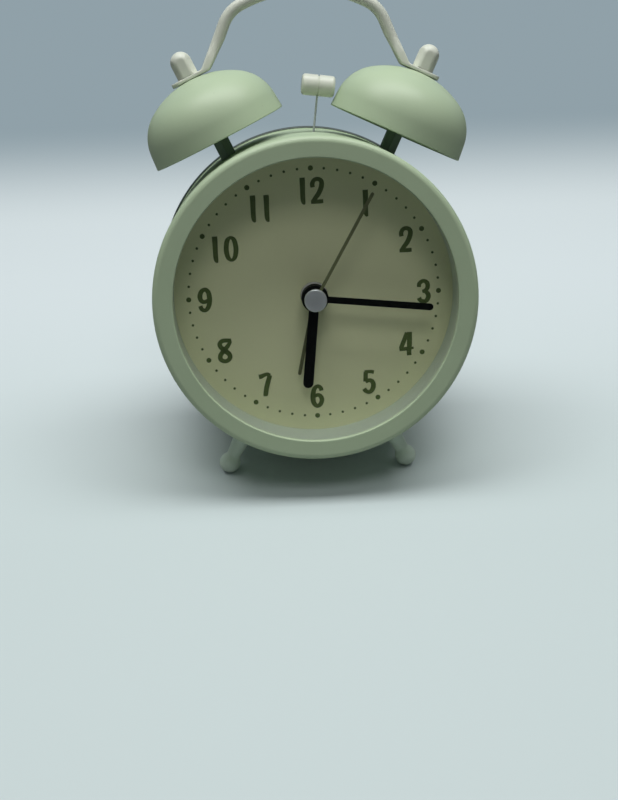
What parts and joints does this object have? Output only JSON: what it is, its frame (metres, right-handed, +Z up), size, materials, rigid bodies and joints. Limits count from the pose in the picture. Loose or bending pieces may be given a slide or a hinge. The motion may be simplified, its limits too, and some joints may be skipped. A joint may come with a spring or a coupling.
{
  "type": "twin-bell alarm clock",
  "caption": "Small round twin-bell alarm clock with a hammer between the bells, an arched carrying handle, ball feet, a printed dial and a battery quartz movement.",
  "frame": {"origin": "on the table, under the middle of the clock's overall box", "axes": "+X to the right as the dial is read, +Y from the dial to the back, +Z up; the clock leans back"},
  "size_m": [0.0916, 0.0734, 0.1316],
  "materials": {
    "mint_paint": "satin sage mint enamel",
    "cream_paint": "satin warm white enamel",
    "mint_plastic": "fine matt",
    "cream_plastic": "fine matt",
    "clear_lens": "clear",
    "dial_print": "matt cream print",
    "black_paint": "satin black",
    "olive_paint": "satin olive",
    "cap_metal": "satin",
    "zinc_steel": "zinc plated",
    "dark_steel": "blackened",
    "brass": "turned",
    "copper_coil": "enamelled copper wire",
    "white_plastic": "moulded",
    "black_plastic": "moulded",
    "board": "solder mask",
    "battery_wrap": "plain printed wrap"
  },
  "bodies": {
    "case": {"bezel": "mint_paint", "lens": "clear_lens", "spacer_ring": "mint_plastic", "dial": "dial_print", "dial_plate": "black_plastic", "can": "mint_paint", "rear_cover": "mint_plastic", "cover_screws": "zinc_steel", "inner_nuts": "zinc_steel", "leg_left": "cream_paint", "leg_right": "cream_paint", "bell_left": "mint_paint", "bell_right": "mint_paint", "bell_post_left": "dark_steel", "bell_post_right": "dark_steel", "bell_studs": "zinc_steel", "cap_nuts": "cream_paint", "handle": "cream_paint", "ringer_frame": "zinc_steel", "ringer_yoke": "zinc_steel", "ringer_coil": "copper_coil", "hammer_pivot": "zinc_steel", "movement_base": "white_plastic", "movement_middle_plate": "white_plastic", "movement_cover": "black_plastic", "stator": "zinc_steel", "stepper_coil": "copper_coil", "circuit_board": "board", "quartz_crystal": "zinc_steel", "alarm_contact": "brass", "battery_cell": "battery_wrap", "battery_spring": "zinc_steel", "battery_contact": "zinc_steel"},
    "second_train": {"second_wheel": "white_plastic", "second_hand": "olive_paint", "hand_cap": "cap_metal"},
    "intermediate": {"intermediate_wheel": "white_plastic"},
    "rotor": {"rotor": "white_plastic"},
    "third": {"third_wheel": "white_plastic"},
    "centre": {"centre_wheel": "white_plastic"},
    "minute": {"minute_arbor": "white_plastic", "minute_hand": "black_paint"},
    "motion": {"motion_wheel": "white_plastic"},
    "hour": {"hour_wheel": "white_plastic", "hour_hand": "black_paint"},
    "time_setter": {"time_stem": "white_plastic", "time_knob": "cream_plastic"},
    "alarm_setter": {"alarm_stem": "white_plastic", "alarm_knob": "cream_plastic"},
    "alarm_idler": {"alarm_idler": "white_plastic"},
    "alarm": {"alarm_wheel": "white_plastic", "alarm_hand": "olive_paint"},
    "hammer": {"hammer_hub": "brass", "hammer_wire": "zinc_steel", "hammer_head": "cream_paint", "hammer_magnet": "dark_steel"},
    "switch": {"alarm_switch": "cream_plastic"},
    "door": {"battery_door": "mint_plastic"}
  },
  "joints": [
    {"name": "second_turn", "type": "hinge", "parent": "case", "child": "second_train", "pos_m": [0, -0.01161, 0.05365], "axis": [0, 0.9694, -0.2454], "continuous": true},
    {"name": "intermediate_turn", "type": "hinge", "parent": "case", "child": "intermediate", "pos_m": [0.0051, -0.01377, 0.04509], "axis": [0, 0.9694, -0.2454], "continuous": true},
    {"name": "rotor_turn", "type": "hinge", "parent": "case", "child": "rotor", "pos_m": [0.01102, -0.0143, 0.043], "axis": [0, 0.9694, -0.2454], "continuous": true},
    {"name": "third_turn", "type": "hinge", "parent": "case", "child": "third", "pos_m": [0.0051, -0.00944, 0.06221], "axis": [0, 0.9694, -0.2454], "continuous": true},
    {"name": "centre_turn", "type": "hinge", "parent": "case", "child": "centre", "pos_m": [0, -0.01161, 0.05365], "axis": [0, 0.9694, -0.2454], "continuous": true},
    {"name": "minute_turn", "type": "hinge", "parent": "case", "child": "minute", "pos_m": [0, -0.01161, 0.05365], "axis": [0, 0.9694, -0.2454], "continuous": true},
    {"name": "motion_turn", "type": "hinge", "parent": "case", "child": "motion", "pos_m": [-0.01, -0.01323, 0.04722], "axis": [0, 0.9694, -0.2454], "continuous": true},
    {"name": "hour_turn", "type": "hinge", "parent": "case", "child": "hour", "pos_m": [0, -0.01161, 0.05365], "axis": [0, 0.9694, -0.2454], "continuous": true},
    {"name": "time_knob_turn", "type": "hinge", "parent": "case", "child": "time_setter", "pos_m": [-0.02, -0.01161, 0.05365], "axis": [0, 0.9694, -0.2454], "continuous": true},
    {"name": "alarm_knob_turn", "type": "hinge", "parent": "case", "child": "alarm_setter", "pos_m": [0.02, -0.01161, 0.05365], "axis": [0, 0.9694, -0.2454], "continuous": true},
    {"name": "alarm_idler_turn", "type": "hinge", "parent": "case", "child": "alarm_idler", "pos_m": [0.013, -0.01161, 0.05365], "axis": [0, 0.9694, -0.2454], "continuous": true},
    {"name": "alarm_turn", "type": "hinge", "parent": "case", "child": "alarm", "pos_m": [0, -0.01161, 0.05365], "axis": [0, 0.9694, -0.2454], "continuous": true},
    {"name": "hammer_swing", "type": "hinge", "parent": "case", "child": "hammer", "pos_m": [0, 0.00763, 0.08076], "axis": [0, 0.9694, -0.2454], "range_deg": [-14.6, 0]},
    {"name": "switch_slide", "type": "slide", "parent": "case", "child": "switch", "axis": [1, 0, 0], "range_m": [0, 0.004]},
    {"name": "door_swing", "type": "hinge", "parent": "case", "child": "door", "pos_m": [0, 0.01541, 0.01736], "axis": [-1, 0, 0], "range_deg": [0, 90]}
  ],
  "couplings": [
    {"joint": "intermediate_turn", "follows": "second_turn", "ratio": -5},
    {"joint": "rotor_turn", "follows": "second_turn", "ratio": 30},
    {"joint": "third_turn", "follows": "second_turn", "ratio": -0.13333},
    {"joint": "centre_turn", "follows": "second_turn", "ratio": 0.016667},
    {"joint": "motion_turn", "follows": "minute_turn", "ratio": -0.33333},
    {"joint": "hour_turn", "follows": "minute_turn", "ratio": 0.083333},
    {"joint": "time_knob_turn", "follows": "minute_turn", "ratio": 1},
    {"joint": "alarm_idler_turn", "follows": "alarm_knob_turn", "ratio": -0.75},
    {"joint": "alarm_turn", "follows": "alarm_knob_turn", "ratio": 0.33333}
  ]
}
